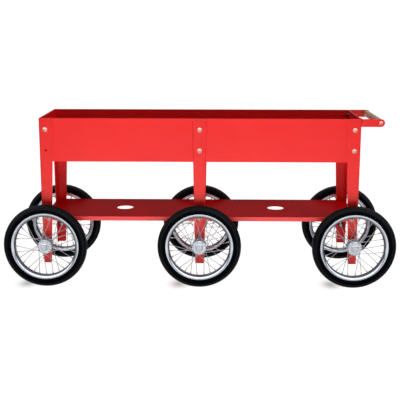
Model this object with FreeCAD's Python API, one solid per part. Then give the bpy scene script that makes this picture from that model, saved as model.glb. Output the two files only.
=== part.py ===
import FreeCAD, Part
import math
import os

# Flower cart stand: a long sheet-metal trough on six spoked wheels, with a
# lower shelf and a short push handle at one end.  Millimetres, +Z up.
# Origin: on the floor, below the middle of the cart.  +X runs along the cart
# towards the handle, -Y is the front.

V = FreeCAD.Vector

# ---------------------------------------------------------------- dimensions
LENGTH = 1156.0          # over the corner legs
WIDTH = 308.0            # over the legs' outer faces
TOP_Z = 615.0            # top of the trough's rim
TROUGH_Z = 457.5         # underside of the trough
SHEET = 1.5              # panel thickness
LEG_T = 2.5              # leg thickness
RIM_H = 9.0              # height of the folded rim
LEG_TOP = 605.5
LEG_FOOT = 78.0
LEG_W_TOP = 52.0         # flange width at the top
LEG_W_FOOT = 30.0        # flange width at the foot
LEG_BEND = 4.5           # outer bend radius
MID_TOP = 26.0           # half width of a middle leg at the top
MID_FOOT = 16.0
MID_DEPTH = 15.0         # depth of its side returns
SHELF_Z = 255.0          # top of the shelf
SHELF_LIP = 16.5
SHELF_HOLE_R = 31.0
SHELF_HOLE_X = 288.0
SEAM_X = 12.0            # where the two halves of the trough and shelf meet
BOLT_R = 4.0
HOLE_R = 4.25
BOLT_X = 556.0
BOLT_Z_UP = 574.0
BOLT_Z_LOW = 498.5
SHELF_BOLT_Z = 246.5
SHELF_BOLT_R = 3.0
SHELF_BOLT_HOLE_R = 3.3
END_BOLT_Y = 128.0
TAB_BOLT_Z = 597.5
ARM_T = 3.0
ARM_H = 28.0
ARM_Z = 601.0
GRIP_X = 647.0
GRIP_R = 12.5
WHEEL_R = 152.5
WHEEL_X = 562.0
WHEEL_Y = 191.0          # centre plane of the tyres
TYRE_HALF = 20.0
RIM_R = 123.4
WELL_R = 109.3           # inner face of the rim's well
HUB_FLANGE_R = 26.0
HUB_HOLES_R = 22.0
HUB_FLANGE_Y = 19.0
HUB_HALF = 28.0
SPOKES = 28
SPOKE_R = 1.1
NIPPLE_R = 2.1
AXLE_R = 6.0
AXLE_CLEARANCE = 0.05

HX = LENGTH / 2.0
HY = WIDTH / 2.0
PX = HX - LEG_T          # outer face of the end panels
PY = HY - LEG_T          # outer face of the side panels
IY = PY - SHEET          # inner face of the side panels
IX = PX - SHEET
FLOOR_Z = TROUGH_Z + 2 * SHEET

os.makedirs("parts", exist_ok=True)


# ------------------------------------------------------------------- helpers
def box(x0, x1, y0, y1, z0, z1):
    return Part.makeBox(x1 - x0, y1 - y0, z1 - z0, V(x0, y0, z0))


def cyl(r, p0, p1):
    d = V(*p1) - V(*p0)
    return Part.makeCylinder(r, d.Length, V(*p0), d)


def prism(points, depth):
    """Polygon face through the points, pushed along the vector depth."""
    pts = [V(*p) for p in points]
    wire = Part.makePolygon(pts + [pts[0]])
    return Part.Face(wire).extrude(V(*depth))


def fuse(shapes):
    s = shapes[0]
    for other in shapes[1:]:
        s = s.fuse(other)
    return s.removeSplitter()


def one(shape):
    """The single solid inside a boolean result."""
    solids = shape.Solids
    assert len(solids) == 1, len(solids)
    return solids[0]


def edges_at(shape, test):
    found = []
    for e in shape.Edges:
        if all(test(v.Point) for v in e.Vertexes) and len(e.Vertexes) == 2:
            found.append(e)
    return found


def near(a, b, tol=1e-4):
    return abs(a - b) < tol


def mirror_y(s):
    return s.mirror(V(0, 0, 0), V(0, 1, 0))


def mirror_x(s):
    return s.mirror(V(0, 0, 0), V(1, 0, 0))


def save(shape, node):
    solids = shape.Solids
    for s in solids:
        assert s.isValid() and s.Volume > 0, node
    out = solids[0] if len(solids) == 1 else Part.makeCompound(solids)
    out.exportStep("parts/%s.step" % node)
    print("%-24s %2d solid(s) %10.0f mm3" % (node, len(solids), sum(s.Volume for s in solids)))


def y_hole(x, z, r, y0=-200.0, y1=-120.0):
    return cyl(r, (x, y0, z), (x, y1, z))


# ------------------------------------------------------------------- trough
def side_panel_front(x0, x1, corner, splice):
    """One half of the front panel: web, folded rim, bottom flange."""
    out = box(x0, x1, -PY, -IY, TROUGH_Z, TOP_Z - 1.0)
    rim_x0 = -HX if corner < 0 else x0
    rim_x1 = HX if corner > 0 else x1
    rim = box(rim_x0, rim_x1, -HY, -IY, TOP_Z - RIM_H, TOP_Z)
    cx = -HX if corner < 0 else HX
    rim = rim.makeFillet(LEG_BEND - 0.6, edges_at(rim, lambda p: near(p.x, cx) and near(p.y, -HY)))
    top = edges_at(rim, lambda p: near(p.z, TOP_Z) and p.y < -IY - 0.01)
    rim = rim.makeFillet(1.2, top)
    fx0 = -(IX - 0.1) if corner < 0 else x0
    fx1 = IX - 0.1 if corner > 0 else x1
    flange = box(fx0, fx1, -IY - 0.2, -IY + 15.0, TROUGH_Z, TROUGH_Z + SHEET)
    out = fuse([out, rim, flange])
    low = edges_at(out, lambda p: near(p.z, TROUGH_Z) and near(p.y, -PY))
    out = out.makeFillet(1.4, low)
    if splice:
        out = fuse([out, box(-26.0, 44.0, -IY, -IY + SHEET, FLOOR_Z + 0.4, TOP_Z - 14.0)])
    for hx in (-BOLT_X, 0.0, BOLT_X):
        for hz in (BOLT_Z_UP, BOLT_Z_LOW):
            out = out.cut(y_hole(hx, hz, HOLE_R))
    return one(out)


front_l = side_panel_front(-PX, SEAM_X, -1, False)
front_r = side_panel_front(SEAM_X, PX, 1, True)
save(front_l, "side_panel_front_left")
save(front_r, "side_panel_front_right")
save(mirror_y(front_l), "side_panel_rear_left")
save(mirror_y(front_r), "side_panel_rear_right")


def end_panel(with_side_bolts):
    """End panel at +X, with returns along the side panels."""
    web = box(IX, PX, -IY, IY, TROUGH_Z, TOP_Z - 1.0)
    rim = box(IX, HX, -IY, IY, TOP_Z - RIM_H, TOP_Z)
    rim = rim.makeFillet(1.2, edges_at(rim, lambda p: near(p.z, TOP_Z)
                                       and (near(p.x, HX) or near(p.x, IX))))
    lip = box(IX - 16.0, IX + 0.2, -(IY - 15.5), IY - 15.5, TROUGH_Z, TROUGH_Z + SHEET)
    returns = [box(IX - 38.0, IX + 0.2, s * IY if s < 0 else IY - SHEET,
                   -(IY - SHEET) if s < 0 else IY, FLOOR_Z + 6.0, TOP_Z - 14.0) for s in (-1, 1)]
    out = fuse([web, rim, lip] + returns)
    for s in (-1, 1):
        for hz in (BOLT_Z_UP, BOLT_Z_LOW):
            out = out.cut(cyl(HOLE_R, (BOLT_X, s * 160, hz), (BOLT_X, s * 130, hz)))
        if with_side_bolts:
            for hz in (TAB_BOLT_Z, BOLT_Z_LOW):
                out = out.cut(cyl(HOLE_R, (IX - 10, s * END_BOLT_Y, hz), (HX + 10, s * END_BOLT_Y, hz)))
    return one(out)


save(end_panel(True), "end_panel_right")
save(mirror_x(end_panel(False)), "end_panel_left")

RIVETS = [(x, y) for x in (-9.0, 9.0) for y in (-120.0, -40.0, 40.0, 120.0)]
# the floor ends inside the splice plates and the end panels' returns, and its
# rivets are countersunk, so that nothing stands above its face
FLOOR_HY = IY - SHEET - 0.2
for name, fx0, fx1 in (("left", -(IX - 0.2), -0.2), ("right", 0.2, IX - 0.2)):
    sheet = box(fx0, fx1, -FLOOR_HY, FLOOR_HY, TROUGH_Z + SHEET, FLOOR_Z)
    for rx, ry in RIVETS:
        sheet = sheet.cut(cyl(2.1, (rx, ry, TROUGH_Z - 5), (rx, ry, FLOOR_Z + 5)))
        sheet = sheet.cut(Part.makeCone(2.1, 3.7, 1.4, V(rx, ry, FLOOR_Z - 1.4), V(0, 0, 1)))
    save(one(sheet), "floor_panel_" + name)

# cross brace below the floor's seam: an inverted channel with a raised crown
brace = box(-18.0, 18.0, -(IY - 0.5), IY - 0.5, TROUGH_Z - 14.0, TROUGH_Z)
brace = brace.makeFillet(2.4, edges_at(brace, lambda p: near(p.z, TROUGH_Z) and near(abs(p.x), 18.0)
                                       ))
crown = box(-16.0, 16.0, -(IY - 15.4), IY - 15.4, TROUGH_Z - 0.2, TROUGH_Z + SHEET)
hollow = box(-16.5, 16.5, -IY, IY, TROUGH_Z - 15.0, TROUGH_Z - SHEET)
brace = fuse([brace, crown]).cut(hollow)
for rx, ry in RIVETS:
    brace = brace.cut(cyl(2.1, (rx, ry, TROUGH_Z - 5), (rx, ry, FLOOR_Z + 5)))
save(one(brace), "floor_brace")

rivets = []
for rx, ry in RIVETS:
    head = Part.makeCone(2.0, 3.6, 1.38, V(rx, ry, FLOOR_Z - 1.4), V(0, 0, 1))
    shank = cyl(2.0, (rx, ry, TROUGH_Z - SHEET - 1.6), (rx, ry, FLOOR_Z - 1.4))
    tail = cyl(3.4, (rx, ry, TROUGH_Z - SHEET - 1.8), (rx, ry, TROUGH_Z - SHEET))
    rivets.append(one(fuse([head, shank, tail])))
save(Part.makeCompound(rivets), "floor_rivets")


# --------------------------------------------------------------------- legs
def corner_leg(side_bolts):
    """Tapered angle at the front right corner (+X, -Y)."""
    w = LEG_W_FOOT
    front = prism([(HX, -HY, LEG_FOOT), (HX - w, -HY, LEG_FOOT),
                   (HX - LEG_W_TOP, -HY, LEG_TOP), (HX, -HY, LEG_TOP)], (0, LEG_T, 0))
    side = prism([(HX, -HY, LEG_FOOT), (HX, -HY + w, LEG_FOOT),
                  (HX, -HY + LEG_W_TOP, LEG_TOP), (HX, -HY, LEG_TOP)], (-LEG_T, 0, 0))
    leg = fuse([front, side])
    leg = leg.makeFillet(LEG_BEND, edges_at(leg, lambda p: near(p.x, HX) and near(p.y, -HY)))
    foot = [e for e in leg.Edges if len(e.Vertexes) == 2 and near(e.Length, LEG_T, 1e-3)
            and all(near(v.Point.z, LEG_FOOT) for v in e.Vertexes)]
    leg = leg.makeFillet(5.0, foot)
    for hz in (BOLT_Z_UP, BOLT_Z_LOW):
        leg = leg.cut(y_hole(BOLT_X, hz, HOLE_R))
    leg = leg.cut(y_hole(BOLT_X, SHELF_BOLT_Z, SHELF_BOLT_HOLE_R))
    leg = leg.cut(y_hole(WHEEL_X, WHEEL_R, AXLE_R + 0.2))
    if side_bolts:
        for hz in (TAB_BOLT_Z, BOLT_Z_LOW):
            leg = leg.cut(cyl(HOLE_R, (HX - 10, -END_BOLT_Y, hz), (HX + 10, -END_BOLT_Y, hz)))
    return one(leg)


leg_fr = corner_leg(True)
leg_fl = mirror_x(corner_leg(False))
save(leg_fr, "leg_front_right")
save(leg_fl, "leg_front_left")
save(mirror_y(leg_fr), "leg_rear_right")
save(mirror_y(leg_fl), "leg_rear_left")


def middle_leg():
    """Tapered shallow channel at the middle of the front."""
    def trapezoid(y, inset):
        return [(-MID_FOOT + inset, y, LEG_FOOT), (MID_FOOT - inset, y, LEG_FOOT),
                (MID_TOP - inset, y, LEG_TOP), (-MID_TOP + inset, y, LEG_TOP)]
    leg = prism(trapezoid(-HY, 0.0), (0, MID_DEPTH, 0))
    long_edges = [e for e in leg.Edges if e.Length > 400 and all(near(v.Point.y, -HY) for v in e.Vertexes)]
    leg = leg.makeFillet(3.2, long_edges)
    pocket = [(-MID_FOOT + LEG_T - 0.2, -PY, LEG_FOOT - 10), (MID_FOOT - LEG_T + 0.2, -PY, LEG_FOOT - 10),
              (MID_TOP - LEG_T + 0.2, -PY, LEG_TOP + 10), (-MID_TOP + LEG_T - 0.2, -PY, LEG_TOP + 10)]
    leg = leg.cut(prism(pocket, (0, 30, 0)))
    # the returns stop below the trough and leave room for the shelf's lip
    leg = leg.cut(box(-60, 60, -PY, -100, TROUGH_Z - 4.0, LEG_TOP + 10))
    leg = leg.cut(box(-60, 60, -PY, -100, SHELF_Z - SHELF_LIP - 6.0, SHELF_Z + 6.0))
    for hz in (BOLT_Z_UP, BOLT_Z_LOW):
        leg = leg.cut(y_hole(0.0, hz, HOLE_R))
    leg = leg.cut(y_hole(0.0, SHELF_BOLT_Z, SHELF_BOLT_HOLE_R))
    leg = leg.cut(y_hole(0.0, WHEEL_R, AXLE_R + 0.2))
    return one(leg)


mid = middle_leg()
save(mid, "leg_front_middle")
save(mirror_y(mid), "leg_rear_middle")


# -------------------------------------------------------------------- shelf
def shelf_half(x0, x1, end, splice):
    """Tray turned down on its sides and outer end, open at the seam."""
    top = SHELF_Z
    out = box(x0, x1, -PY, PY, top - SHELF_LIP, top)
    rounded = [e for e in out.Edges if len(e.Vertexes) == 2
               and all(near(v.Point.z, top) for v in e.Vertexes)
               and (all(near(abs(v.Point.y), PY) for v in e.Vertexes)
                    or all(near(v.Point.x, end * PX) for v in e.Vertexes))]
    out = out.makeFillet(2.4, rounded)
    ix0 = x0 + SHEET if end < 0 else x0 - 5
    ix1 = x1 - SHEET if end > 0 else x1 + 5
    out = out.cut(box(ix0, ix1, -IY, IY, top - SHELF_LIP - 5, top - SHEET))
    out = out.cut(cyl(SHELF_HOLE_R, (end * SHELF_HOLE_X, 0, top - 30), (end * SHELF_HOLE_X, 0, top + 10)))
    if splice:
        tongue = box(-24.0, 40.0, -IY, IY, top - SHELF_LIP + 0.5, top - SHEET)
        tongue = tongue.cut(box(-30.0, 46.0, -IY + SHEET, IY - SHEET, top - SHELF_LIP - 5, top - 2 * SHEET))
        out = fuse([out, tongue])
    for hx in (-BOLT_X, 0.0, BOLT_X):
        for s in (-1, 1):
            out = out.cut(cyl(SHELF_BOLT_HOLE_R, (hx, s * 170, SHELF_BOLT_Z), (hx, s * 130, SHELF_BOLT_Z)))
    return one(out)


save(shelf_half(-PX, SEAM_X, -1, False), "shelf_left")
save(shelf_half(SEAM_X, PX, 1, True), "shelf_right")


# ------------------------------------------------------------------- handle
def arm_front():
    """Strap: a tab on the corner leg's end flange, bent into the arm."""
    z0, z1 = ARM_Z - ARM_H / 2, ARM_Z + ARM_H / 2
    xe = GRIP_X + ARM_H / 2
    y0, y1 = -HY, -HY + ARM_T
    tab = -HY + 46.0
    arm = prism([(HX, y0, z0), (xe, y0, z0), (xe, y1, z0), (HX + ARM_T, y1, z0),
                 (HX + ARM_T, tab, z0), (HX, tab, z0)], (0, 0, ARM_H))
    arm = arm.makeFillet(5.0, edges_at(arm, lambda p: near(p.x, HX) and near(p.y, y0)))
    arm = arm.makeFillet(2.2, edges_at(arm, lambda p: near(p.x, HX + ARM_T) and near(p.y, y1)))
    keep = fuse([cyl(ARM_H / 2, (GRIP_X, -200, ARM_Z), (GRIP_X, -90, ARM_Z)),
                 box(HX - 20, GRIP_X, -200, -90, z0 - 5, z1 + 5)])
    arm = arm.common(keep)
    ends = [e for e in arm.Edges if len(e.Vertexes) == 2 and near(e.Length, ARM_T, 1e-3)
            and all(near(v.Point.y, tab) for v in e.Vertexes)]
    arm = arm.makeFillet(6.0, ends)
    arm = arm.cut(cyl(HOLE_R, (HX - 5, -END_BOLT_Y, TAB_BOLT_Z), (HX + 15, -END_BOLT_Y, TAB_BOLT_Z)))
    arm = arm.cut(cyl(3.3, (GRIP_X, -170, ARM_Z), (GRIP_X, -140, ARM_Z)))
    return one(arm)


arm = arm_front()
save(arm, "handle_arm_front")
save(mirror_y(arm), "handle_arm_rear")

GRIP_Y = HY - ARM_T
grip = cyl(GRIP_R, (GRIP_X, -GRIP_Y, ARM_Z), (GRIP_X, GRIP_Y, ARM_Z))
grip = grip.makeFillet(1.2, [e for e in grip.Edges if near(e.Length, 2 * math.pi * GRIP_R, 0.01)])
for s in (-1, 1):
    grip = grip.cut(cyl(3.05, (GRIP_X, s * GRIP_Y, ARM_Z), (GRIP_X, s * (GRIP_Y - 42), ARM_Z)))
save(one(grip), "handle_grip")


# ---------------------------------------------------------------- fasteners
def dome_bolt(head_r, head_h, shank_r, length, recess=True):
    """Head's underside on the plane y = 0, head towards -Y, shank to +Y."""
    sr = (head_r ** 2 + head_h ** 2) / (2 * head_h)
    head = Part.makeSphere(sr, V(0, sr - head_h, 0)).common(
        box(-head_r - 2, head_r + 2, -head_h - 1, 0, -head_r - 2, head_r + 2))
    skirt = cyl(head_r, (0, -0.8, 0), (0, 0, 0))
    shank = cyl(shank_r, (0, -0.3, 0), (0, length, 0))
    shank = shank.makeChamfer(0.6, [e for e in shank.Edges
                                    if len(e.Vertexes) == 1 and near(e.Vertexes[0].Point.y, length)])
    bolt = fuse([head, skirt, shank])
    if recess:
        hexagon = [(2.9 * math.cos(math.radians(a)), -head_h - 1, 2.9 * math.sin(math.radians(a)))
                   for a in range(0, 360, 60)]
        bolt = bolt.cut(prism(hexagon, (0, 3.6, 0)))
    return one(bolt)


def hex_nut(across, thick, bore):
    """Between y = 0 and y = thick, on the Y axis."""
    r = across / math.sqrt(3)
    nut = prism([(r * math.cos(math.radians(a)), 0, r * math.sin(math.radians(a)))
                 for a in range(0, 360, 60)], (0, thick, 0))
    cone = Part.makeCone(r + thick, across / 2 - 0.2, thick + 0.55, V(0, -0.55, 0), V(0, 1, 0))
    nut = nut.common(cone)
    return one(nut.cut(cyl(bore, (0, -1, 0), (0, thick + 1, 0))))


def washer(r, thick, bore):
    return one(cyl(r, (0, 0, 0), (0, thick, 0)).cut(cyl(bore, (0, -1, 0), (0, thick + 1, 0))))


def placed(shape, x, y, z, rear=False, turn=0.0):
    s = shape.copy()
    if turn:
        s.rotate(V(0, 0, 0), V(0, 1, 0), turn)
    if rear:
        s.rotate(V(0, 0, 0), V(0, 0, 1), 180)
    s.translate(V(x, y, z))
    return s


def placed_end(shape, x, y, z, turn=0.0):
    """From the -Y outward pose to the +X outward pose."""
    s = shape.copy()
    if turn:
        s.rotate(V(0, 0, 0), V(0, 1, 0), turn)
    s.rotate(V(0, 0, 0), V(0, 0, 1), 90)
    s.translate(V(x, y, z))
    return s


frame_bolt = dome_bolt(8.8, 4.4, BOLT_R, 14.5)
nut8 = hex_nut(13.0, 6.4, BOLT_R + 0.04)
wash8 = washer(8.5, 1.4, BOLT_R + 0.04)
bolts, nuts = [], []
turns = [10, 35, 52, 5, 23, 44, 17, 58, 31, 2, 39, 27]
k = 0
for rear in (False, True):
    s = 1 if rear else -1
    for bx in (-BOLT_X, 0.0, BOLT_X):
        for bz in (BOLT_Z_UP, BOLT_Z_LOW):
            if not rear and bx < 0 and bz == BOLT_Z_LOW:
                continue          # this hole has no bolt in it
            t = turns[k % len(turns)]
            k += 1
            bolts.append(placed(frame_bolt, bx, s * HY, bz, rear, t))
            face = IY - SHEET
            nuts.append(placed(wash8, bx, s * face, bz, rear))
            nuts.append(placed(nut8, bx, s * (face - 1.4), bz, rear, t + 7))
save(Part.makeCompound(bolts), "frame_bolts")
save(Part.makeCompound(nuts), "frame_nuts")

shelf_bolt = dome_bolt(8.2, 4.2, SHELF_BOLT_R, 14.0)
nut6 = hex_nut(10.0, 5.0, SHELF_BOLT_R + 0.04)
bolts, nuts = [], []
for rear in (False, True):
    s = 1 if rear else -1
    for bx in (-BOLT_X, 0.0, BOLT_X):
        t = turns[k % len(turns)]
        k += 1
        face = IY - SHEET if bx == 0.0 else IY
        bolts.append(placed(shelf_bolt, bx, s * HY, SHELF_BOLT_Z, rear, t))
        nuts.append(placed(nut6, bx, s * face, SHELF_BOLT_Z, rear))
save(Part.makeCompound(bolts), "shelf_bolts")
save(Part.makeCompound(nuts), "shelf_nuts")

end_bolt = dome_bolt(7.4, 4.0, BOLT_R, 12.0)
tab_bolt = dome_bolt(7.4, 4.0, BOLT_R, 15.0)
bolts, nuts = [], []
for s in (-1, 1):
    bolts.append(placed_end(end_bolt, HX, s * END_BOLT_Y, BOLT_Z_LOW, 12 + 9 * s))
    bolts.append(placed_end(tab_bolt, HX + ARM_T, s * END_BOLT_Y, TAB_BOLT_Z, 33 + 7 * s))
    nuts.append(placed_end(nut8, IX, s * END_BOLT_Y, BOLT_Z_LOW, 20 + 9 * s))
    nuts.append(placed_end(nut8, IX, s * END_BOLT_Y, TAB_BOLT_Z, 41 + 7 * s))
save(Part.makeCompound(bolts), "end_bolts")
save(Part.makeCompound(nuts), "end_nuts")

grip_screw = dome_bolt(7.0, 3.6, 3.0, 40.0)
save(Part.makeCompound([placed(grip_screw, GRIP_X, -HY, ARM_Z, False, 21),
                        placed(grip_screw, GRIP_X, HY, ARM_Z, True, 48)]), "grip_screws")


# ------------------------------------------------------------------- wheels
# Local wheel frame: centre at the origin, axle along Y, outer side at -Y.
def seg(a, b):
    return Part.LineSegment(V(a[0], a[1], 0), V(b[0], b[1], 0)).toShape()


def arc(a, m, b):
    return Part.Arc(V(a[0], a[1], 0), V(m[0], m[1], 0), V(b[0], b[1], 0)).toShape()


def revolve(edges):
    """Profile in the X-Y plane (x = radius), turned about the Y axis."""
    face = Part.Face(Part.Wire(edges))
    s = face.revolve(V(0, 0, 0), V(0, 1, 0), 360)
    s = one(s) if s.Solids else Part.Solid(s)
    if s.Volume < 0:
        s.reverse()
    return s


def tyre_shape():
    half = [("l", (114.9, -8.4), (114.9, -12.7)),
            ("l", (114.9, -12.7), (123.9, -12.7)),
            ("l", (123.9, -12.7), (124.9, -16.2)),
            ("a", (124.9, -16.2), (135.5, -TYRE_HALF), (146.6, -15.6)),
            ("a", (146.6, -15.6), (WHEEL_R, 0.0), (146.6, 15.6)),
            ("a", (146.6, 15.6), (135.5, TYRE_HALF), (124.9, 16.2)),
            ("l", (124.9, 16.2), (123.9, 12.7)),
            ("l", (123.9, 12.7), (114.9, 12.7)),
            ("l", (114.9, 12.7), (114.9, 8.4)),
            ("l", (114.9, 8.4), (123.6, 9.2)),
            ("a", (123.6, 9.2), (134.5, 16.2), (143.6, 12.2)),
            ("a", (143.6, 12.2), (147.8, 0.0), (143.6, -12.2)),
            ("a", (143.6, -12.2), (134.5, -16.2), (123.6, -9.2)),
            ("l", (123.6, -9.2), (114.9, -8.4))]
    return revolve([seg(e[1], e[2]) if e[0] == "l" else arc(e[1], e[2], e[3]) for e in half])


def rim_shape():
    lip = RIM_R - 1.4
    e = [seg((114.8, -13.0), (lip, -13.0)),
         arc((lip, -13.0), (RIM_R, -14.4), (lip, -15.8)),
         arc((lip, -15.8), (117.2, -14.9), (113.0, -12.6)),
         arc((113.0, -12.6), (112.2, -11.2), (112.0, -9.6)),
         arc((112.0, -9.6), (111.1, -7.7), (WELL_R, -6.9)),
         seg((WELL_R, -6.9), (WELL_R, 6.9)),
         arc((WELL_R, 6.9), (111.1, 7.7), (112.0, 9.6)),
         arc((112.0, 9.6), (112.2, 11.2), (113.0, 12.6)),
         arc((113.0, 12.6), (117.2, 14.9), (lip, 15.8)),
         arc((lip, 15.8), (RIM_R, 14.4), (lip, 13.0)),
         seg((lip, 13.0), (114.8, 13.0)),
         seg((114.8, 13.0), (113.9, 8.2)),
         seg((113.9, 8.2), (WELL_R + 1.9, 5.4)),
         seg((WELL_R + 1.9, 5.4), (WELL_R + 1.9, -5.4)),
         seg((WELL_R + 1.9, -5.4), (113.9, -8.2)),
         seg((113.9, -8.2), (114.8, -13.0))]
    return revolve(e)


def hub_shape():
    b = AXLE_R + AXLE_CLEARANCE
    fy0, fy1 = HUB_FLANGE_Y - 1.5, HUB_FLANGE_Y + 1.5
    right = [(b, -HUB_HALF), (10.2, -HUB_HALF), (11.0, -HUB_HALF + 0.8), (11.0, -24.6), (13.4, -23.8),
             (14.6, -fy1), (HUB_FLANGE_R - 0.8, -fy1), (HUB_FLANGE_R, -fy1 + 0.8), (HUB_FLANGE_R, -fy0 - 0.8),
             (HUB_FLANGE_R - 0.8, -fy0), (16.0, -fy0), (12.6, -13.5), (12.0, -10.0)]
    pts = right + [(r, -y) for r, y in reversed(right)]
    hub = revolve([seg(pts[i], pts[(i + 1) % len(pts)]) for i in range(len(pts))])
    n = SPOKES // 2
    for side in (-1, 1):
        off = 0.0 if side < 0 else 180.0 / n
        for j in range(n):
            a = math.radians(j * 360.0 / n + off)
            x, z = HUB_HOLES_R * math.cos(a), HUB_HOLES_R * math.sin(a)
            hub = hub.cut(cyl(1.35, (x, side * (fy0 - 1), z), (x, side * (fy1 + 1), z)))
    return one(hub)


def spoke_set():
    """Two-cross lacing: 14 spokes on each flange, alternately inside and
    outside it, each with its bend, head and nipple."""
    n = SPOKES // 2
    step = 360.0 / SPOKES
    beta = 4 * step
    kinds = []
    for side in (-1, 1):
        for lead in (True, False):
            k0 = {(-1, True): 0, (1, True): 1, (-1, False): 2, (1, False): 3}[(side, lead)]
            rim_a = k0 * step
            hub_a = rim_a - beta if lead else rim_a + beta
            outside = lead
            off = 4.15 if outside else -2.75
            y_hub = side * (HUB_FLANGE_Y + off)
            y_rim = side * (4.4 if outside else 1.4)
            ha, ra = math.radians(hub_a), math.radians(rim_a)
            p0 = V(HUB_HOLES_R * math.cos(ha), y_hub, HUB_HOLES_R * math.sin(ha))
            rr = WELL_R + 0.9
            p1 = V(rr * math.cos(ra), y_rim, rr * math.sin(ra))
            d = p1 - p0
            u = V(d)
            u.normalize()
            shaft = Part.makeCylinder(SPOKE_R, d.Length - 4.0, p0, u)
            nip = Part.makeCylinder(NIPPLE_R, 11.0, p1 - u * 11.0, u)
            nip = nip.makeChamfer(0.7, [e for e in nip.Edges if len(e.Vertexes) == 1
                                        and (e.Vertexes[0].Point - (p1 - u * 11.0)).Length < NIPPLE_R + 0.1])
            ball = Part.makeSphere(SPOKE_R, p0)
            inner = side * (HUB_FLANGE_Y - (2.0 if outside else -2.0))
            elbow = cyl(SPOKE_R, (p0.x, y_hub, p0.z), (p0.x, inner, p0.z))
            sgn = -1.0 if (inner - y_hub) < 0 else 1.0
            head = cyl(2.0, (p0.x, side * (HUB_FLANGE_Y - (1.6 if outside else -1.6)), p0.z),
                       (p0.x, side * (HUB_FLANGE_Y - (1.6 if outside else -1.6)) + sgn * 1.0, p0.z))
            sp = one(fuse([shaft, ball, elbow, head, nip]))
            kinds.append(sp)
    out = []
    for m in range(n // 2):
        for sp in kinds:
            s = sp.copy()
            s.rotate(V(0, 0, 0), V(0, 1, 0), -m * 4 * step)
            out.append(s)
    return out


def axle_shape():
    """Hex-headed axle bolt with its washer, through the hub and the leg."""
    inner = WHEEL_Y - HY + LEG_T + 11.5
    shank = cyl(AXLE_R, (0, -HUB_HALF - 2.4, 0), (0, inner, 0))
    shank = shank.makeChamfer(0.8, [e for e in shank.Edges
                                    if len(e.Vertexes) == 1 and near(e.Vertexes[0].Point.y, inner)])
    wash = cyl(11.8, (0, -HUB_HALF - 2.4, 0), (0, -HUB_HALF - 0.4, 0))
    r = 18.0 / math.sqrt(3)
    y0, y1 = -HUB_HALF - 9.6, -HUB_HALF - 2.4
    head = prism([(r * math.cos(math.radians(a)), y0, r * math.sin(math.radians(a)))
                  for a in range(0, 360, 60)], (0, y1 - y0, 0))
    cap = Part.makeCone(8.4, 8.4 + (y1 - y0) * 1.7, y1 - y0, V(0, y0, 0), V(0, 1, 0))
    head = head.common(cap)
    return one(fuse([shank, wash, head]))


tyre = tyre_shape()
rim = rim_shape()
hub = hub_shape()
spokes = Part.makeCompound(spoke_set())
axle = axle_shape()
nut12 = hex_nut(18.0, 8.0, AXLE_R + 0.04)
wheels = [("fl", -WHEEL_X, False), ("fm", 0.0, False), ("fr", WHEEL_X, False),
          ("rl", -WHEEL_X, True), ("rm", 0.0, True), ("rr", WHEEL_X, True)]
phases = {"fl": 0.0, "fm": 4.0, "fr": 9.0, "rl": 6.0, "rm": 2.0, "rr": 11.0}
axle_nuts = []
for code, wx, rear in wheels:
    wy = WHEEL_Y if rear else -WHEEL_Y
    for part_name, shape in (("tyre", tyre), ("rim", rim), ("spokes", spokes), ("hub", hub)):
        save(placed(shape, wx, wy, WHEEL_R, rear, phases[code]), "wheel_%s_%s" % (code, part_name))
    save(placed(axle, wx, wy, WHEEL_R, rear, 3 * phases[code]), "wheel_%s_axle" % code)
    s = 1 if rear else -1
    # one nut against the leg's outer face, one behind it
    axle_nuts.append(placed(nut12, wx, s * (HY + 8.0), WHEEL_R, rear, 15 + phases[code]))
    axle_nuts.append(placed(nut12, wx, s * PY, WHEEL_R, rear, 40 + phases[code]))
save(Part.makeCompound(axle_nuts), "axle_nuts")
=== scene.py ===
import math

import bpy
from mathutils import Matrix, Vector


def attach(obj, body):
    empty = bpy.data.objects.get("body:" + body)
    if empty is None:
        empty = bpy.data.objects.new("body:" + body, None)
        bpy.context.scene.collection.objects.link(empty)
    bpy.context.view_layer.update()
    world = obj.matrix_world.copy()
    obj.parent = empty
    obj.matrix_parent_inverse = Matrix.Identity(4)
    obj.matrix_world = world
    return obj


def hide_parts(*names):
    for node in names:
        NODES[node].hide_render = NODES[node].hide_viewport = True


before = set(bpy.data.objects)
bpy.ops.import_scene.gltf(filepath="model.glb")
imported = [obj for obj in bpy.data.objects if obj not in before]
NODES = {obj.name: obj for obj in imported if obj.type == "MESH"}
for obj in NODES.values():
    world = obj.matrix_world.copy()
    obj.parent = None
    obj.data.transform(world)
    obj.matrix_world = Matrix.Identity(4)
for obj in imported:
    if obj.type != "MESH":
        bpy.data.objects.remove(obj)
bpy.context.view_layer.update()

MM = 0.001

# wheel centres and turns, as in the construction model (millimetres, degrees)
WHEEL_R = 152.5
WHEELS = {"fl": (-562.0, -191.0, False, 0.0), "fm": (0.0, -191.0, False, 4.0), "fr": (562.0, -191.0, False, 9.0),
          "rl": (-562.0, 191.0, True, 6.0), "rm": (0.0, 191.0, True, 2.0), "rr": (562.0, 191.0, True, 11.0)}
SPOKES = 28
HUB_HOLES_R = 22.0
HUB_FLANGE_Y = 19.0
WELL_R = 109.3


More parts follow.
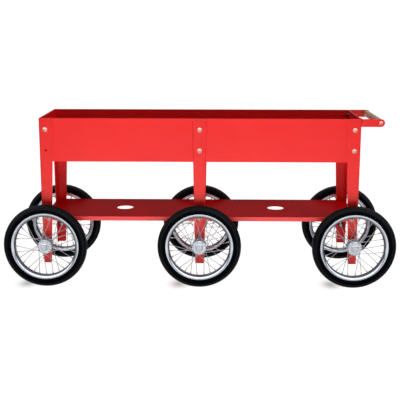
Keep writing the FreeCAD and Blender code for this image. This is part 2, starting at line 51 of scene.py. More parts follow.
# ------------------------------------------------------------------ materials
class Mat:
    """A node material built around one Principled shader."""

    def __init__(self, name, **values):
        self.mat = bpy.data.materials.new(name)
        self.mat.use_nodes = True
        self.nt = self.mat.node_tree
        self.nt.nodes.clear()
        self.out = self.nt.nodes.new("ShaderNodeOutputMaterial")
        self.bsdf = self.nt.nodes.new("ShaderNodeBsdfPrincipled")
        self.nt.links.new(self.bsdf.outputs["BSDF"], self.out.inputs["Surface"])
        for key, value in values.items():
            self.bsdf.inputs[key.replace("_", " ")].default_value = value
        self.coord = self.nt.nodes.new("ShaderNodeTexCoord")
        self.height = None

    def link(self, a, b):
        self.nt.links.new(a, b)

    def mapped(self, scale=(1, 1, 1), location=(0, 0, 0), rotation=(0, 0, 0)):
        m = self.nt.nodes.new("ShaderNodeMapping")
        m.inputs["Scale"].default_value = scale
        m.inputs["Location"].default_value = location
        m.inputs["Rotation"].default_value = rotation
        self.link(self.coord.outputs["Object"], m.inputs["Vector"])
        return m.outputs["Vector"]

    def noise(self, vector, scale, detail=3.0, rough=0.5, distortion=0.0):
        n = self.nt.nodes.new("ShaderNodeTexNoise")
        n.inputs["Scale"].default_value = scale
        n.inputs["Detail"].default_value = detail
        n.inputs["Roughness"].default_value = rough
        n.inputs["Distortion"].default_value = distortion
        self.link(vector, n.inputs["Vector"])
        return n.outputs["Fac"]

    def ramp(self, fac, stops):
        r = self.nt.nodes.new("ShaderNodeValToRGB")
        e = r.color_ramp.elements
        while len(e) < len(stops):
            e.new(0.5)
        for el, (pos, col) in zip(e, stops):
            el.position = pos
            el.color = (*col, 1.0)
        self.link(fac, r.inputs["Fac"])
        return r.outputs["Color"]

    def remap(self, value, a, b, c, d):
        m = self.nt.nodes.new("ShaderNodeMapRange")
        for k, v in zip(("From Min", "From Max", "To Min", "To Max"), (a, b, c, d)):
            m.inputs[k].default_value = v
        self.link(value, m.inputs["Value"])
        return m.outputs["Result"]

    def math(self, op, a, b=None, c=None):
        m = self.nt.nodes.new("ShaderNodeMath")
        m.operation = op
        for i, v in enumerate((a, b, c)):
            if v is None:
                continue
            if isinstance(v, (int, float)):
                m.inputs[i].default_value = v
            else:
                self.link(v, m.inputs[i])
        return m.outputs["Value"]

    def mix(self, fac, a, b, mode="MIX"):
        m = self.nt.nodes.new("ShaderNodeMix")
        m.data_type = "RGBA"
        m.blend_type = mode
        for key, v in (("Factor", fac), ("A", a), ("B", b)):
            socket = [s for s in m.inputs if s.name == key and (s.type == "RGBA" if key != "Factor" else s.type == "VALUE")][0]
            if isinstance(v, tuple):
                socket.default_value = (*v, 1.0)
            elif isinstance(v, (int, float)):
                socket.default_value = v
            else:
                self.link(v, socket)
        return [s for s in m.outputs if s.type == "RGBA"][0]

    def radius(self):
        """Distance from the object's own Y axis, in metres."""
        sep = self.nt.nodes.new("ShaderNodeSeparateXYZ")
        self.link(self.coord.outputs["Object"], sep.inputs[0])
        x2 = self.math("MULTIPLY", sep.outputs["X"], sep.outputs["X"])
        return self.math("SQRT", self.math("ADD", x2, self.math("MULTIPLY", sep.outputs["Z"], sep.outputs["Z"])))

    def axis(self, name):
        """One object coordinate, in metres."""
        sep = self.nt.nodes.new("ShaderNodeSeparateXYZ")
        self.link(self.coord.outputs["Object"], sep.inputs[0])
        return sep.outputs[name]

    def set(self, name, output):
        self.link(output, self.bsdf.inputs[name])

    def bump(self, height, strength, distance):
        b = self.nt.nodes.new("ShaderNodeBump")
        b.inputs["Strength"].default_value = strength
        b.inputs["Distance"].default_value = distance
        self.link(height, b.inputs["Height"])
        if self.height is not None:
            self.link(self.height, b.inputs["Normal"])
        self.height = b.outputs["Normal"]
        self.link(self.height, self.bsdf.inputs["Normal"])


def red_paint(name, base, deep, seed, spec=0.42, coat=0.0, shaded_top=None):
    """Powder coat on sheet steel: fine orange peel, slow colour drift, a little dust-dull variation. When the
    upper-face argument is given, the face above its height gets a darker red as painted shade.
    """
    m = Mat(name, Metallic=0.0, IOR=1.5, Specular_IOR_Level=spec, Coat_Weight=coat, Coat_Roughness=0.30)
    p = m.mapped(location=(seed, 0.37 * seed, 0.11 * seed))
    slow = m.noise(p, 2.6, 4.0, 0.55)
    fine = m.noise(p, 38.0, 5.0, 0.6)
    both = m.math("ADD", m.math("MULTIPLY", slow, 0.75), m.math("MULTIPLY", fine, 0.25))
    colour = m.ramp(both, [(0.34, deep), (0.62, base)])
    if shaded_top:
        # painted shade and painted highlight: the upper face gets a deeper, darker red, no specular and a thin coat;
        # the folded edges below keep the paler, pinker base red as a painted highlight
        up = m.remap(m.axis("Z"), shaded_top[0], shaded_top[0] + 0.0008, 0.0, 1.0)
        colour = m.mix(up, colour, m.ramp(both, [(0.34, shaded_top[2]), (0.62, shaded_top[1])]))
        m.set("Specular IOR Level", m.remap(up, 0.0, 1.0, spec, 0.0))
        m.set("Coat Weight", m.remap(up, 0.0, 1.0, 0.0, coat))
    m.set("Base Color", colour)
    m.set("Roughness", m.remap(m.noise(p, 14.0, 4.0, 0.6), 0.3, 0.7, 0.34, 0.46))
    m.bump(m.noise(p, 420.0, 2.0, 0.5), 0.16, 0.00025)
    m.bump(m.noise(p, 60.0, 2.0, 0.5), 0.05, 0.0008)
    return m.mat


RED = red_paint("red_powder_coat", (0.830, 0.0075, 0.0050), (0.770, 0.0050, 0.0036), 0.0)
RED_LEG = red_paint("red_powder_coat_legs", (0.800, 0.0066, 0.0044), (0.745, 0.0046, 0.0032), 3.1)
# the shelf's base red is paler and pinker than the trough's, a painted highlight on its folded edges; its upper face
# gets a darker red as painted shade
RED_SHELF = red_paint("red_powder_coat_shelf", (0.860, 0.0260, 0.0250), (0.800, 0.0200, 0.0200), 6.4, spec=0.60, coat=0.16,
                      shaded_top=(0.2538, (0.500, 0.0050, 0.0060), (0.430, 0.0038, 0.0050)))
RED_ARM = red_paint("red_powder_coat_arms", (0.760, 0.0085, 0.0080), (0.700, 0.0065, 0.0062), 9.7)


def zinc(name, base, seed, rough=(0.22, 0.40), metal=1.0, shade_inside_trough=None):
    """Bright zinc plating: faint cloudy spangle and turning marks; the threaded ends inside the trough can be given a
    near-black colour as painted shade.
    """
    m = Mat(name, Metallic=metal)
    p = m.mapped(location=(seed, -seed, 0.5 * seed))
    cloud = m.noise(p, 160.0, 4.0, 0.6)
    dark = tuple(c * 0.86 for c in base)
    colour = m.ramp(cloud, [(0.32, dark), (0.66, base)])
    if shade_inside_trough:
        # painted shade: the parts inside the trough's walls take the near-black colour
        inside = m.math("MULTIPLY", m.math("LESS_THAN", m.math("ABSOLUTE", m.axis("Y")), 0.1487),
                        m.math("LESS_THAN", m.math("ABSOLUTE", m.axis("X")), 0.5738))
        colour = m.mix(inside, colour, shade_inside_trough)
    m.set("Base Color", colour)
    m.set("Roughness", m.remap(m.noise(p, 90.0, 3.0, 0.55), 0.3, 0.7, rough[0], rough[1]))
    m.bump(m.noise(p, 900.0, 2.0, 0.5), 0.06, 0.0001)
    return m.mat


# pink-tinted zinc: a painted reflection of the red paint around the heads
BOLT = zinc("zinc_plated_bolt", (0.90, 0.45, 0.37), 1.0, (0.28, 0.42), 0.85, shade_inside_trough=(0.060, 0.028, 0.026))
# near-black reddish zinc: painted shade, so the nuts inside the trough sink into its shaded interior; the axle nuts
# share this colour
NUT_PAINTED_SHADE = zinc("zinc_plated_nut", (0.052, 0.026, 0.024), 2.0, (0.40, 0.56), 0.9)
AXLE = zinc("zinc_plated_axle", (0.50, 0.52, 0.55), 3.0, (0.20, 0.34))
RIVET = red_paint("painted_rivet", (0.74, 0.0075, 0.0055), (0.66, 0.0052, 0.0042), 12.2)


def hub_metal():
    """Turned hub: plated steel with a cloudy tone, varying roughness and a fine bump."""
    m = Mat("hub_plated_steel", Metallic=1.0)
    p = m.mapped()
    cloud = m.noise(p, 120.0, 4.0, 0.6)
    m.set("Base Color", m.ramp(cloud, [(0.30, (0.45, 0.475, 0.515)), (0.68, (0.62, 0.65, 0.70))]))
    m.set("Roughness", m.remap(m.noise(p, 60.0, 3.0, 0.6), 0.3, 0.7, 0.20, 0.34))
    m.bump(m.noise(p, 700.0, 2.0, 0.5), 0.10, 0.0001)
    return m.mat


HUB = hub_metal()


def chrome():
    """Chromed steel: bright on the lips and flanks; down in the well the colour is made darker as painted shade."""
    m = Mat("chromed_rim", Metallic=1.0)
    p = m.mapped()
    bright = m.ramp(m.noise(p, 30.0, 4.0, 0.6), [(0.30, (0.45, 0.485, 0.535)), (0.70, (0.55, 0.590, 0.645))])
    # painted shade: near-black colour below the lip radius, down in the well
    well = m.remap(m.radius(), 0.1120, 0.1135, 1.0, 0.0)
    m.set("Base Color", m.mix(well, bright, (0.085, 0.092, 0.105)))
    m.set("Roughness", m.remap(m.noise(p, 45.0, 4.0, 0.6), 0.3, 0.7, 0.13, 0.24))
    m.bump(m.noise(p, 500.0, 2.0, 0.5), 0.03, 0.0001)
    return m.mat


CHROME = chrome()


def wire():
    m = Mat("spoke_wire", Metallic=1.0)
    p = m.mapped()
    m.set("Base Color", m.ramp(m.noise(p, 150.0, 3.0, 0.5), [(0.30, (0.28, 0.292, 0.305)), (0.70, (0.37, 0.385, 0.40))]))
    m.set("Roughness", m.remap(m.noise(p, 220.0, 3.0, 0.5), 0.3, 0.7, 0.24, 0.40))
    return m.mat


def nipple():
    m = Mat("nickel_nipple", Metallic=1.0)
    p = m.mapped()
    m.set("Base Color", m.ramp(m.noise(p, 240.0, 3.0, 0.5), [(0.30, (0.34, 0.335, 0.32)), (0.70, (0.48, 0.475, 0.46))]))
    m.set("Roughness", m.remap(m.noise(p, 300.0, 3.0, 0.5), 0.3, 0.7, 0.25, 0.42))
    return m.mat


WIRE, NIPPLE = wire(), nipple()


def rubber():
    """Moulded black rubber: fine grain, slightly greyer in patches where it has picked up dust, and a greyer ring on
    the bulge below the tread as a painted sheen.
    """
    m = Mat("black_rubber", Metallic=0.0, IOR=1.5)
    p = m.mapped()
    slow = m.noise(p, 9.0, 5.0, 0.6)
    grain = m.noise(p, 260.0, 3.0, 0.6)
    both = m.math("ADD", m.math("MULTIPLY", slow, 0.7), m.math("MULTIPLY", grain, 0.3))
    black = m.ramp(both, [(0.32, (0.0005, 0.0007, 0.0012)), (0.58, (0.0012, 0.0015, 0.0022)), (0.75, (0.0032, 0.0039, 0.0048))])
    # painted sheen: a greyer ring on the bulge below the tread, patchy along it; the rest of the sidewall is dull
    r = m.radius()
    bulge = m.math("SUBTRACT", 1.0, m.math("MULTIPLY", m.math("ABSOLUTE", m.math("SUBTRACT", r, 0.1392)), 260.0))
    painted_sheen = m.math("MULTIPLY", m.math("MAXIMUM", bulge, 0.0), m.remap(slow, 0.30, 0.70, 0.15, 0.70))
    m.set("Base Color", m.mix(painted_sheen, black, (0.012, 0.016, 0.021)))
    m.set("Specular IOR Level", m.remap(r, 0.1365, 0.1410, 0.015, 0.075))
    m.set("Roughness", m.remap(m.noise(p, 35.0, 4.0, 0.6), 0.3, 0.7, 0.36, 0.52))
    m.bump(m.noise(p, 900.0, 3.0, 0.6), 0.22, 0.00015)
    return m.mat


RUBBER = rubber()


def wood():
    """Turned hardwood, grain along the grip (Y): stretched noise bands, pores and a satin varnish."""
    m = Mat("turned_hardwood", Metallic=0.0, IOR=1.5, Coat_Weight=0.10, Coat_Roughness=0.32)
    p = m.mapped(scale=(1.0, 0.06, 1.0))
    warp = m.noise(p, 34.0, 3.0, 0.5, 0.6)
    bands = m.nt.nodes.new("ShaderNodeTexWave")
    bands.wave_type = "BANDS"
    bands.bands_direction = "DIAGONAL"
    bands.inputs["Scale"].default_value = 26.0
    bands.inputs["Distortion"].default_value = 7.0
    bands.inputs["Detail"].default_value = 3.0
    bands.inputs["Detail Scale"].default_value = 1.6
    m.link(p, bands.inputs["Vector"])
    fac = m.math("ADD", m.math("MULTIPLY", bands.outputs["Fac"], 0.55), m.math("MULTIPLY", warp, 0.45))
    base = m.ramp(fac, [(0.22, (0.500, 0.335, 0.170)), (0.50, (0.680, 0.510, 0.285)), (0.80, (0.800, 0.640, 0.390))])
    pores = m.noise(m.mapped(scale=(1.0, 0.03, 1.0)), 620.0, 2.0, 0.6)
    m.set("Base Color", m.mix(m.remap(pores, 0.60, 0.72, 0.0, 0.55), base, (0.33, 0.20, 0.10)))
    m.set("Roughness", m.remap(fac, 0.2, 0.8, 0.52, 0.38))
    m.bump(pores, 0.12, 0.0002)
    m.bump(fac, 0.06, 0.0004)
    return m.mat


WOOD = wood()


# ------------------------------------------------------------- geometry tools
def arc3(a, m, b, n):
    """n + 1 points on the circle arc from a through m to b."""
    ax, ay, bx, by, cx, cy = *a, *m, *b
    d = 2 * (ax * (by - cy) + bx * (cy - ay) + cx * (ay - by))
    ux = ((ax * ax + ay * ay) * (by - cy) + (bx * bx + by * by) * (cy - ay) + (cx * cx + cy * cy) * (ay - by)) / d
    uy = ((ax * ax + ay * ay) * (cx - bx) + (bx * bx + by * by) * (ax - cx) + (cx * cx + cy * cy) * (bx - ax)) / d
    r = math.hypot(ax - ux, ay - uy)
    t0, t1, t2 = (math.atan2(p[1] - uy, p[0] - ux) for p in (a, m, b))
    while t1 < t0:
        t1 += 2 * math.pi
    while t2 < t0:
        t2 += 2 * math.pi
    if t1 > t2:                       # the arc runs the other way round
        t2 -= 2 * math.pi
    return [(ux + r * math.cos(t0 + (t2 - t0) * i / n), uy + r * math.sin(t0 + (t2 - t0) * i / n)) for i in range(n + 1)]


def new_mesh(name, verts, faces, materials, smooth=True, indices=None, sharp_deg=None):
    mesh = bpy.data.meshes.new(name)
    mesh.from_pydata([tuple(c * MM for c in v) for v in verts], [], faces)
    for mat in materials:
        mesh.materials.append(mat)
    if smooth:
        mesh.polygons.foreach_set("use_smooth", [True] * len(mesh.polygons))
    if indices is not None:
        mesh.polygons.foreach_set("material_index", indices)
    if sharp_deg is not None:
        mesh.set_sharp_from_angle(angle=math.radians(sharp_deg))
    mesh.validate()
    mesh.update()
    return mesh


def ring_faces(rows, cols, base=0, close_rows=False):
    """Quads of a grid whose columns close round the axle."""
    out = []
    for i in range(rows if close_rows else rows - 1):
        i2 = (i + 1) % rows
        for j in range(cols):
            j2 = (j + 1) % cols
            out.append((base + i * cols + j, base + i * cols + j2, base + i2 * cols + j2, base + i2 * cols + j))
    return out


def wheel_matrix(code, turned):
    x, y, rear, turn = WHEELS[code]
    m = Matrix.Translation(Vector((x, y, WHEEL_R)) * MM)
    if rear:
        m = m @ Matrix.Rotation(math.pi, 4, "Z")
    return m @ Matrix.Rotation(math.radians(turn), 4, "Y") if turned else m


# ---------------------------------------------------------------------- tyre
def tyre_mesh():
    """Hollow-looking rubber tyre: bead, ribbed sidewalls, shoulder blocks and a chevron tread cut into the crown."""
    pitches = 54
    steps = (0.00, 0.045, 0.205, 0.25, 0.50, 0.75)     # groove wall, floor, floor, wall, block, block
    crown_r, crown_c = 23.57, 128.93

    def crown(y):
        return crown_c + math.sqrt(crown_r ** 2 - y * y)

    # half profile from the crown's middle out to the bead: (r, y, row)
    half = [(crown(0.0), 0.0, "rib"), (crown(1.6), 1.6, "rib"), (crown(3.0), 3.0, "rib"),
            (crown(3.3) - 1.5, 3.3, "flat"), (crown(4.3) - 1.5, 4.3, "flat"),
            (crown(4.6), 4.6, "mid"), (crown(6.4), 6.4, "mid"), (crown(8.2), 8.2, "mid"), (crown(9.7), 9.7, "mid"),
            (crown(10.0) - 1.5, 10.0, "flat"), (crown(10.9) - 1.5, 10.9, "flat"),
            (crown(11.2), 11.2, "shoulder"), (crown(13.2), 13.2, "shoulder"), (crown(15.2), 15.2, "shoulder"),
            (145.2, 16.75, "shoulder"), (143.6, 17.75, "shoulder"),
            (143.3, 17.35, "side")]
    wall = arc3((142.6, 17.9), (135.5, 20.0), (124.9, 16.2), 22)
    for r, y in wall:
        lift = 0.0
        for centre, width, high in ((140.4, 0.55, 0.38), (138.9, 0.4, 0.25), (130.2, 0.5, 0.34), (127.4, 0.4, 0.22)):
            if abs(r - centre) < width:
                lift = high
        half.append((r, y + lift * 0.9, "side"))
    half += [(124.3, 15.1, "side"), (124.0, 13.9, "side"), (123.2, 13.05, "side"), (119.0, 12.75, "side"), (115.2, 12.7, "side")]
    profile = [(r, -y, k) for r, y, k in reversed(half[1:])] + half
    verts = []
    cols = pitches * len(steps)
    pitch = 2 * math.pi / pitches
    for r, y, kind in profile:
        ay = abs(y)
        skew = 0.0 if ay < 3.2 else 0.55 * pitch * min(1.0, (ay - 3.2) / 13.5)
        side = 0.25 if y > 0 else -0.25
        stagger = side * pitch * min(1.0, ay / 4.6)
        fade = max(0.0, min(1.0, (ay - 3.2) / 1.0))
        if kind == "side":
            skew = 0.55 * pitch
        for k in range(pitches):
            for s, f in enumerate(steps):
                a = (k + f) * pitch + skew + stagger
                rr = r
                if kind == "mid" and s in (1, 2):
                    rr -= 1.35
                elif kind == "shoulder" and s in (1, 2):
                    rr -= 1.55
                yy = y
                if kind == "shoulder" and s in (1, 2) and ay > 15.5:
                    yy = y * (ay - 0.9) / ay
                verts.append((rr * math.cos(a), yy, rr * math.sin(a)))
    faces = ring_faces(len(profile), cols, close_rows=True)
    return new_mesh("tyre_mesh", verts, faces, [RUBBER], sharp_deg=34)


# ----------------------------------------------------------------------- rim
def rim_mesh():
    """Rolled-lip chromed rim with a stepped flank and a drop well."""
    lip = 122.0
    half = []
    half += arc3((lip, 13.0), (123.4, 14.4), (lip, 15.8), 10)
    half += arc3((lip, 15.8), (117.2, 14.9), (113.0, 12.6), 9)[1:]
    half += [(112.55, 12.2), (112.25, 11.6), (112.08, 10.8), (112.0, 9.6)]
    half += arc3((112.0, 9.6), (111.1, 7.7), (WELL_R, 6.9), 7)[1:]
    half += [(WELL_R, 5.6), (WELL_R, 3.0), (WELL_R, 0.0)]
    inner = [(114.8, 13.0), (113.9, 8.2), (WELL_R + 1.9, 5.4), (WELL_R + 1.9, 0.0)]
    outer_loop = half + [(r, -y) for r, y in reversed(half[:-1])]
    back = [(r, -y) for r, y in inner] + [(r, y) for r, y in reversed(inner[:-1])]
    profile = outer_loop + back
    cols = 256
    verts = [(r * math.cos(2 * math.pi * j / cols), y, r * math.sin(2 * math.pi * j / cols))
             for r, y in profile for j in range(cols)]
    faces = [tuple(reversed(f)) for f in ring_faces(len(profile), cols, close_rows=True)]
    return new_mesh("rim_mesh", verts, faces, [CHROME], sharp_deg=40)


# -------------------------------------------------------------------- spokes
def spoke_lines():
    """Hub hole, rim seat and side of every spoke: two-cross lacing, alternately outside and inside the flange."""
    n = SPOKES // 2
    step = 360.0 / SPOKES
    out = []
    for side in (-1, 1):
        for lead in (True, False):
            k0 = {(-1, True): 0, (1, True): 1, (-1, False): 2, (1, False): 3}[(side, lead)]
            for m in range(n // 2):
                rim_a = math.radians((k0 + 4 * m) * step)
                hub_a = rim_a + math.radians((-4 if lead else 4) * step)
                y_hub = side * (HUB_FLANGE_Y + (4.15 if lead else -2.75))
                y_rim = side * (4.4 if lead else 1.4)
                p0 = Vector((HUB_HOLES_R * math.cos(hub_a), y_hub, HUB_HOLES_R * math.sin(hub_a)))
                p1 = Vector(((WELL_R + 0.9) * math.cos(rim_a), y_rim, (WELL_R + 0.9) * math.sin(rim_a)))
                out.append((p0, p1, side, lead))
    return out


def tube(path, radii, sides, verts, faces, indices, index, caps=True):
    """Sweeps circles of the given radii along a path of points, without twist."""
    base = len(verts)
    tangent = [((path[min(i + 1, len(path) - 1)] - path[max(i - 1, 0)]).normalized()) for i in range(len(path))]
    t = tangent[0]
    n = t.orthogonal().normalized()
    for i, p in enumerate(path):
        axis = t.cross(tangent[i])
        if axis.length > 1e-9:
            n = Matrix.Rotation(t.angle(tangent[i]), 3, axis.normalized()) @ n
        t = tangent[i]
        b = t.cross(n)
        for j in range(sides):
            a = 2 * math.pi * j / sides
            verts.append(tuple(p + (n * math.cos(a) + b * math.sin(a)) * radii[i]))
    for i in range(len(path) - 1):
        for j in range(sides):
            j2 = (j + 1) % sides
            faces.append((base + i * sides + j, base + i * sides + j2, base + (i + 1) * sides + j2, base + (i + 1) * sides + j))
            indices.append(index)
    if caps:
        faces.append(tuple(reversed(range(base, base + sides))))
        faces.append(tuple(range(base + (len(path) - 1) * sides, base + len(path) * sides)))
        indices += [index, index]


def spokes_mesh():
    """28 drawn wires: button head, pass through the flange, round elbow, straight run, tapered nipple."""
    verts, faces, indices = [], [], []
    for p0, p1, side, lead in spoke_lines():
        u = (p1 - p0).normalized()
        inward = Vector((0.0, -side if lead else side, 0.0))      # from the elbow back through the flange
        seat = Vector((p0.x, side * (HUB_FLANGE_Y - (1.6 if lead else -1.6)), p0.z))
        head_end = seat + inward * 1.25
        bend = 1.35
        path = [seat - inward * 0.3]
        k = 7
        a, c, b = p0 + inward * bend, p0, p0 + u * bend * 1.2
        for i in range(k + 1):
            s = i / k
            path.append(a * (1 - s) ** 2 + c * 2 * s * (1 - s) + b * s * s)
        end = p1 - u * 3.0
        for s in (0.25, 0.5, 0.75, 1.0):
            path.append(b.lerp(end, s))
        tube(path, [1.0] * len(path), 10, verts, faces, indices, 0)
        head = [head_end, head_end - inward * 0.25, head_end - inward * 0.6, seat + inward * 0.15, seat - inward * 0.1]
        tube(head, [1.15, 1.75, 2.05, 1.95, 1.2], 12, verts, faces, indices, 0)
        q = [11.6, 11.3, 10.6, 9.2, 6.4, 5.6, 4.6, 3.0, 0.6]
        r = [1.15, 1.55, 1.85, 1.9, 1.9, 2.15, 2.3, 2.3, 2.3]
        tube([p1 - u * d for d in q], r, 12, verts, faces, indices, 1)
        # pressed eyelet round the nipple, on the rim's well
        base = len(verts)
        radial = Vector((p1.x, 0.0, p1.z)).normalized()
        t1 = Vector((0.0, 1.0, 0.0))
        t2 = radial.cross(t1)
        centre = radial * (WELL_R + 0.15) + t1 * p1.y
        rows = [(3.5, 0.0), (3.35, -0.45), (2.9, -0.62), (2.35, -0.45), (2.2, 0.0)]
        for rad, h in rows:
            for j in range(14):
                a = 2 * math.pi * j / 14
                verts.append(tuple(centre + t1 * (rad * math.cos(a)) + t2 * (rad * math.sin(a)) + radial * h))
        rings = [tuple(reversed(f)) for f in ring_faces(len(rows), 14, base)]
        faces += rings
        indices += [2] * len(rings)
    return new_mesh("spokes_mesh", verts, faces, [WIRE, NIPPLE, CHROME], indices=indices, sharp_deg=42)


TYRE_MESH, RIM_MESH, SPOKES_MESH = tyre_mesh(), rim_mesh(), spokes_mesh()
for code in WHEELS:
    body = "wheel_" + code
    for kind, mesh, slot in (("tyre", TYRE_MESH, "tyre"), ("rim", RIM_MESH, "chrome"), ("spokes", SPOKES_MESH, "spoke_steel")):
        piece = bpy.data.objects.new("%s_%s" % (kind, code), mesh)
        bpy.context.scene.collection.objects.link(piece)
        piece.matrix_world = wheel_matrix(code, kind == "spokes")
        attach(piece, body)
        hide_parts("wheel_%s_%s" % (code, kind))


# ------------------------------------------------- finishes of the CAD nodes
def finish_node(name, mat, bevel=None, angle=40.0):
    o = NODES[name]
    o.data.materials.clear()
    o.data.materials.append(mat)
    o.data.polygons.foreach_set("material_index", [0] * len(o.data.polygons))
    if bevel:
        weld = o.modifiers.new("weld", "WELD")
        weld.merge_threshold = 0.000004
        b = o.modifiers.new("edge", "BEVEL")
        b.width = bevel
        b.segments = 2
        b.limit_method = "ANGLE"
        b.angle_limit = math.radians(angle)
        b.harden_normals = True
        b.use_clamp_overlap = True


for n in NODES:
    if n.startswith(("side_panel", "end_panel", "floor_panel", "floor_brace")):
        finish_node(n, RED, 0.0004)
    elif n == "floor_rivets":
        finish_node(n, RIVET)
    elif n.startswith("leg_"):
        finish_node(n, RED_LEG, 0.0004)
    elif n.startswith("shelf_") and n not in ("shelf_bolts", "shelf_nuts"):
        finish_node(n, RED_SHELF, 0.0004)
    elif n.startswith("handle_arm"):
        finish_node(n, RED_ARM, 0.0004)
    elif n == "handle_grip":
        finish_node(n, WOOD)
    elif n in ("frame_bolts", "shelf_bolts", "end_bolts", "grip_screws"):
        finish_node(n, BOLT)
    elif n in ("frame_nuts", "shelf_nuts", "end_nuts", "axle_nuts"):
        finish_node(n, NUT_PAINTED_SHADE)
    elif n.endswith("_hub"):
        finish_node(n, HUB)
    elif n.endswith("_axle"):
        finish_node(n, AXLE)


# ------------------------------------------------------- floor, light, camera
FRONT_GLOW = 2.60       # extra glow of the table in front of and behind the cart
FLOOR_WHITE = 1.00      # glow of the table as the camera sees it
MIRROR = (0.20, 1.05, 0.30, 1.30)     # its glow in mirror-like metal: to the sides, below the cart, near it, far away
CONTACT = (0.076, -0.158, 0.030, 0.048, 0.56)     # contact shadows: offset, depth, half widths, strength


def studio():
    """A light table: the pale floor glows and is lit from the upper right, and is itself the main light on the cart."""
    scene = bpy.context.scene
    mesh = bpy.data.meshes.new("studio_floor")
    s = 14.0
    mesh.from_pydata([(-s, -s, 0), (s, -s, 0), (s, s, 0), (-s, s, 0)], [], [(0, 1, 2, 3)])
    floor = bpy.data.objects.new("studio_floor", mesh)
    scene.collection.objects.link(floor)
    mat = bpy.data.materials.new("pale_floor")
    mat.use_nodes = True
    bsdf = mat.node_tree.nodes["Principled BSDF"]
    bsdf.inputs["Base Color"].default_value = (0.22, 0.23, 0.23, 1)
    bsdf.inputs["Roughness"].default_value = 0.9
    bsdf.inputs["Specular IOR Level"].default_value = 0.0
    bsdf.inputs["Emission Color"].default_value = (1, 1, 1, 1)
    # the table is plain white to the eye, but for a soft contact shadow left of each front wheel; as a light it glows
    # more in front of and behind the cart, and it is less bright in the mirror-like metal
    fn = mat.node_tree
    fc = fn.nodes.new("ShaderNodeTexCoord")
    fs = fn.nodes.new("ShaderNodeSeparateXYZ")
    fn.links.new(fc.outputs["Object"], fs.inputs[0])
    ray = fn.nodes.new("ShaderNodeLightPath")

    def math_node(op, x, y=None):
        n = fn.nodes.new("ShaderNodeMath")
        n.operation = op
        for i, v in enumerate((x, y)):
            if v is None:
                continue
            if isinstance(v, (int, float)):
                n.inputs[i].default_value = v
            else:
                fn.links.new(v, n.inputs[i])
        return n.outputs["Value"]

    def profile(axis, stops):
        r = fn.nodes.new("ShaderNodeValToRGB")
        r.color_ramp.interpolation = "EASE"
        fe = r.color_ramp.elements
        while len(fe) < len(stops):
            fe.new(0.5)
        for el, (pos, v) in zip(fe, stops):
            el.position = pos
            el.color = (v, v, v, 1.0)
        fn.links.new(math_node("MULTIPLY", math_node("ABSOLUTE", fs.outputs[axis]), 0.5), r.inputs["Fac"])
        return r.outputs["Color"]

    def spot(x0, y0, rx, ry):
        """A soft round patch: 1 in its middle, falling off to 0."""
        ux = math_node("DIVIDE", math_node("SUBTRACT", fs.outputs["X"], x0), rx)
        uy = math_node("DIVIDE", math_node("SUBTRACT", fs.outputs["Y"], y0), ry)
        return math_node("EXPONENT", math_node("MULTIPLY", math_node("ADD", math_node("MULTIPLY", ux, ux), math_node("MULTIPLY", uy, uy)), -1.0))

    patches = 0.0
    for x0 in (-0.562, 0.0, 0.562):
        patches = math_node("ADD", patches, spot(x0 - CONTACT[0], CONTACT[1], CONTACT[2], CONTACT[3]))
    seen = math_node("SUBTRACT", FLOOR_WHITE, math_node("MULTIPLY", patches, CONTACT[4]))
    boost = profile("Y", [(0.16, 0.0), (0.34, 1.0), (0.90, 1.0), (1.00, 0.0)])
    along = profile("X", [(0.30, 1.0), (0.62, 0.0)])
    far = math_node("MULTIPLY", boost, along)
    under = profile("Y", [(0.08, 1.0), (0.14, 0.0)])
    glow = math_node("ADD", 1.05, math_node("MULTIPLY", far, FRONT_GLOW))
    glow = math_node("SUBTRACT", glow, math_node("MULTIPLY", under, 0.85))
    mirror = math_node("ADD", math_node("MULTIPLY", under, MIRROR[1] - MIRROR[2]), math_node("MULTIPLY", boost, MIRROR[3] - MIRROR[2]))
    mirror = math_node("ADD", MIRROR[0], math_node("MULTIPLY", along, math_node("ADD", MIRROR[2] - MIRROR[0], mirror)))

    def pick(flag, no, yes):
        n = fn.nodes.new("ShaderNodeMix")
        n.data_type = "FLOAT"
        for i, v in enumerate((flag, no, yes)):
            fn.links.new(v, n.inputs[("Factor", "A", "B")[i]])
        return n.outputs["Result"]

    light = pick(ray.outputs["Is Glossy Ray"], glow, mirror)
    fn.links.new(pick(ray.outputs["Is Camera Ray"], light, seen), bsdf.inputs["Emission Strength"])
    mesh.materials.append(mat)

    world = bpy.data.worlds.new("studio")
    scene.world = world
    world.use_nodes = True
    nt = world.node_tree
    nt.nodes.clear()
    out = nt.nodes.new("ShaderNodeOutputWorld")
    white = nt.nodes.new("ShaderNodeBackground")
    white.inputs["Color"].default_value = (1, 1, 1, 1)
    white.inputs["Strength"].default_value = 1.04
    fill = nt.nodes.new("ShaderNodeBackground")
    fill.inputs["Color"].default_value = (0.94, 0.96, 1.0, 1)
    fill.inputs["Strength"].default_value = 0.08
    gloss = nt.nodes.new("ShaderNodeBackground")
    coord = nt.nodes.new("ShaderNodeTexCoord")
    sep = nt.nodes.new("ShaderNodeSeparateXYZ")
    nt.links.new(coord.outputs["Generated"], sep.inputs[0])
    # what the bright metal mirrors: a dim room round the horizon, a paler backdrop behind, a soft box overhead
    def world_node(op, x, y=None):
        n = nt.nodes.new("ShaderNodeMath")
        n.operation = op
        for i, v in enumerate((x, y)):
            if v is None:
                continue
            if isinstance(v, (int, float)):
                n.inputs[i].default_value = v
            else:
                nt.links.new(v, n.inputs[i])
        return n.outputs["Value"]

    def sky(stops):
        r = nt.nodes.new("ShaderNodeValToRGB")
        e = r.color_ramp.elements
        while len(e) < len(stops):
            e.new(0.5)
        for el, (pos, col) in zip(e, stops):
            el.position = pos
            el.color = (*col, 1.0)
        nt.links.new(height, r.inputs["Fac"])
        return r.outputs["Color"]

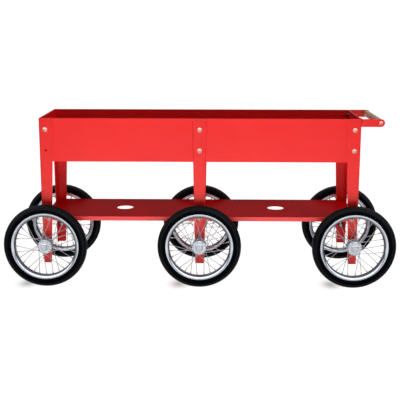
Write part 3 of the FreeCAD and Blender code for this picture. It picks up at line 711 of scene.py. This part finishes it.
    height = world_node("ADD", world_node("MULTIPLY", sep.outputs["Z"], 0.5), 0.5)
    front = sky([(0.48, (0.20, 0.205, 0.22)), (0.51, (0.060, 0.062, 0.070)), (0.54, (0.10, 0.102, 0.11)),
                 (0.60, (0.85, 0.86, 0.90)), (0.90, (1.0, 1.0, 1.0))])
    back = sky([(0.48, (0.20, 0.205, 0.22)), (0.54, (0.15, 0.155, 0.17)), (0.68, (0.16, 0.165, 0.18)),
                (0.80, (0.45, 0.46, 0.48)), (0.90, (0.95, 0.96, 1.0))])
    behind = nt.nodes.new("ShaderNodeMapRange")
    behind.interpolation_type = "SMOOTHSTEP"
    for k, v in zip(("From Min", "From Max", "To Min", "To Max"), (0.0, 0.6, 0.0, 1.0)):
        behind.inputs[k].default_value = v
    nt.links.new(sep.outputs["Y"], behind.inputs["Value"])
    both = nt.nodes.new("ShaderNodeMix")
    both.data_type = "RGBA"
    nt.links.new(behind.outputs["Result"], both.inputs[0])
    nt.links.new(front, [q for q in both.inputs if q.name == "A" and q.type == "RGBA"][0])
    nt.links.new(back, [q for q in both.inputs if q.name == "B" and q.type == "RGBA"][0])
    nt.links.new([q for q in both.outputs if q.type == "RGBA"][0], gloss.inputs["Color"])
    gloss.inputs["Strength"].default_value = 2.2
    path = nt.nodes.new("ShaderNodeLightPath")
    mix1 = nt.nodes.new("ShaderNodeMixShader")
    mix2 = nt.nodes.new("ShaderNodeMixShader")
    nt.links.new(path.outputs["Is Glossy Ray"], mix1.inputs["Fac"])
    nt.links.new(fill.outputs[0], mix1.inputs[1])
    nt.links.new(gloss.outputs[0], mix1.inputs[2])
    nt.links.new(path.outputs["Is Camera Ray"], mix2.inputs["Fac"])
    nt.links.new(mix1.outputs[0], mix2.inputs[1])
    nt.links.new(white.outputs[0], mix2.inputs[2])
    nt.links.new(mix2.outputs[0], out.inputs["Surface"])

    def area(name, loc, target, size, size_y, energy, color=(1, 1, 1), glossy=True):
        data = bpy.data.lights.new(name, "AREA")
        data.shape = "RECTANGLE"
        data.size, data.size_y = size, size_y
        data.energy = energy
        data.color = color
        o = bpy.data.objects.new(name, data)
        o.location = loc
        o.rotation_mode = "QUATERNION"
        o.rotation_quaternion = (Vector(target) - Vector(loc)).to_track_quat("-Z", "Y")
        scene.collection.objects.link(o)
        o.visible_glossy = glossy
        o.visible_camera = False
        return o

    area("key_upper_right", (2.6, -0.9, 3.0), (0.0, -0.3, 0.0), 2.4, 2.0, 36.0, glossy=False)
    area("front_low", (0.3, -4.0, 0.45), (0.0, 0.0, 0.45), 6.0, 0.8, 4.0, glossy=False)
    area("rear_low", (-0.3, 4.0, 0.6), (0.0, 0.0, 0.45), 6.0, 1.1, 8.0, glossy=False)
    area("side_right", (4.0, -0.6, 0.9), (0.0, 0.0, 0.3), 2.2, 1.4, 3.0, glossy=False)

    scene.view_settings.view_transform = "Standard"
    scene.view_settings.look = "None"
    scene.view_settings.exposure = 0.0
    scene.view_settings.gamma = 1.0


def camera():
    data = bpy.data.cameras.new("camera")
    data.sensor_width = 36.0
    data.lens = 76.5
    data.clip_start, data.clip_end = 0.05, 80.0
    cam = bpy.data.objects.new("camera", data)
    pitch, yaw, roll = 0.21445, -0.0184, 0.0008
    fwd = Vector((math.sin(yaw) * math.cos(pitch), math.cos(yaw) * math.cos(pitch), -math.sin(pitch)))
    right = Vector((math.cos(yaw), -math.sin(yaw), 0.0))
    up = right.cross(fwd)
    r2 = right * math.cos(roll) + up * math.sin(roll)
    u2 = up * math.cos(roll) - right * math.sin(roll)
    m = Matrix(((r2.x, u2.x, -fwd.x, 0.05763), (r2.y, u2.y, -fwd.y, -3.1810), (r2.z, u2.z, -fwd.z, 0.97723), (0, 0, 0, 1)))
    cam.matrix_world = m
    bpy.context.scene.collection.objects.link(cam)
    bpy.context.scene.camera = cam


studio()
camera()
